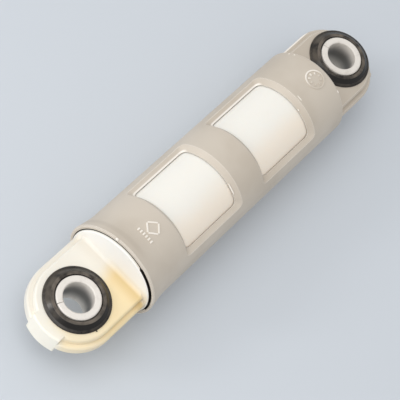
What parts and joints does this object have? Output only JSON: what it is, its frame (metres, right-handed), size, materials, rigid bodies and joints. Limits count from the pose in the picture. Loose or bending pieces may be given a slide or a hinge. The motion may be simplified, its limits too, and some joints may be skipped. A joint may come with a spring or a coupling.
{
  "type": "washing machine shock absorber",
  "caption": "Friction damper for a washing machine tub: a white hollow plunger slides in a windowed grey housing, with a bushed eye at each end.",
  "frame": {"origin": "centre of the housing eye's bore, at the middle of the lug's thickness", "axes": "+X along the tubes from the housing's eye to the plunger's eye, +Z along both eyes' bores"},
  "size_m": [0.1943, 0.0406, 0.0406],
  "materials": {
    "housing_plastic": "moulded satin, warm light grey",
    "plunger_plastic": "moulded satin, ivory white",
    "bush_rubber": "moulded satin, near black",
    "sleeve_plastic": "moulded satin, off white",
    "lining_foam": "greased open foam",
    "ring_plastic": "moulded satin, near black"
  },
  "bodies": {
    "housing": {"outer_housing": "housing_plastic", "housing_bush": "bush_rubber", "housing_sleeve": "sleeve_plastic", "friction_lining": "lining_foam", "guide_ring": "ring_plastic"},
    "plunger": {"plunger": "plunger_plastic", "plunger_bush": "bush_rubber", "plunger_sleeve": "sleeve_plastic"}
  },
  "joints": [
    {"name": "plunger_slide", "type": "slide", "parent": "housing", "child": "plunger", "axis": [1, 0, 0], "range_m": [0, 0.08]}
  ]
}
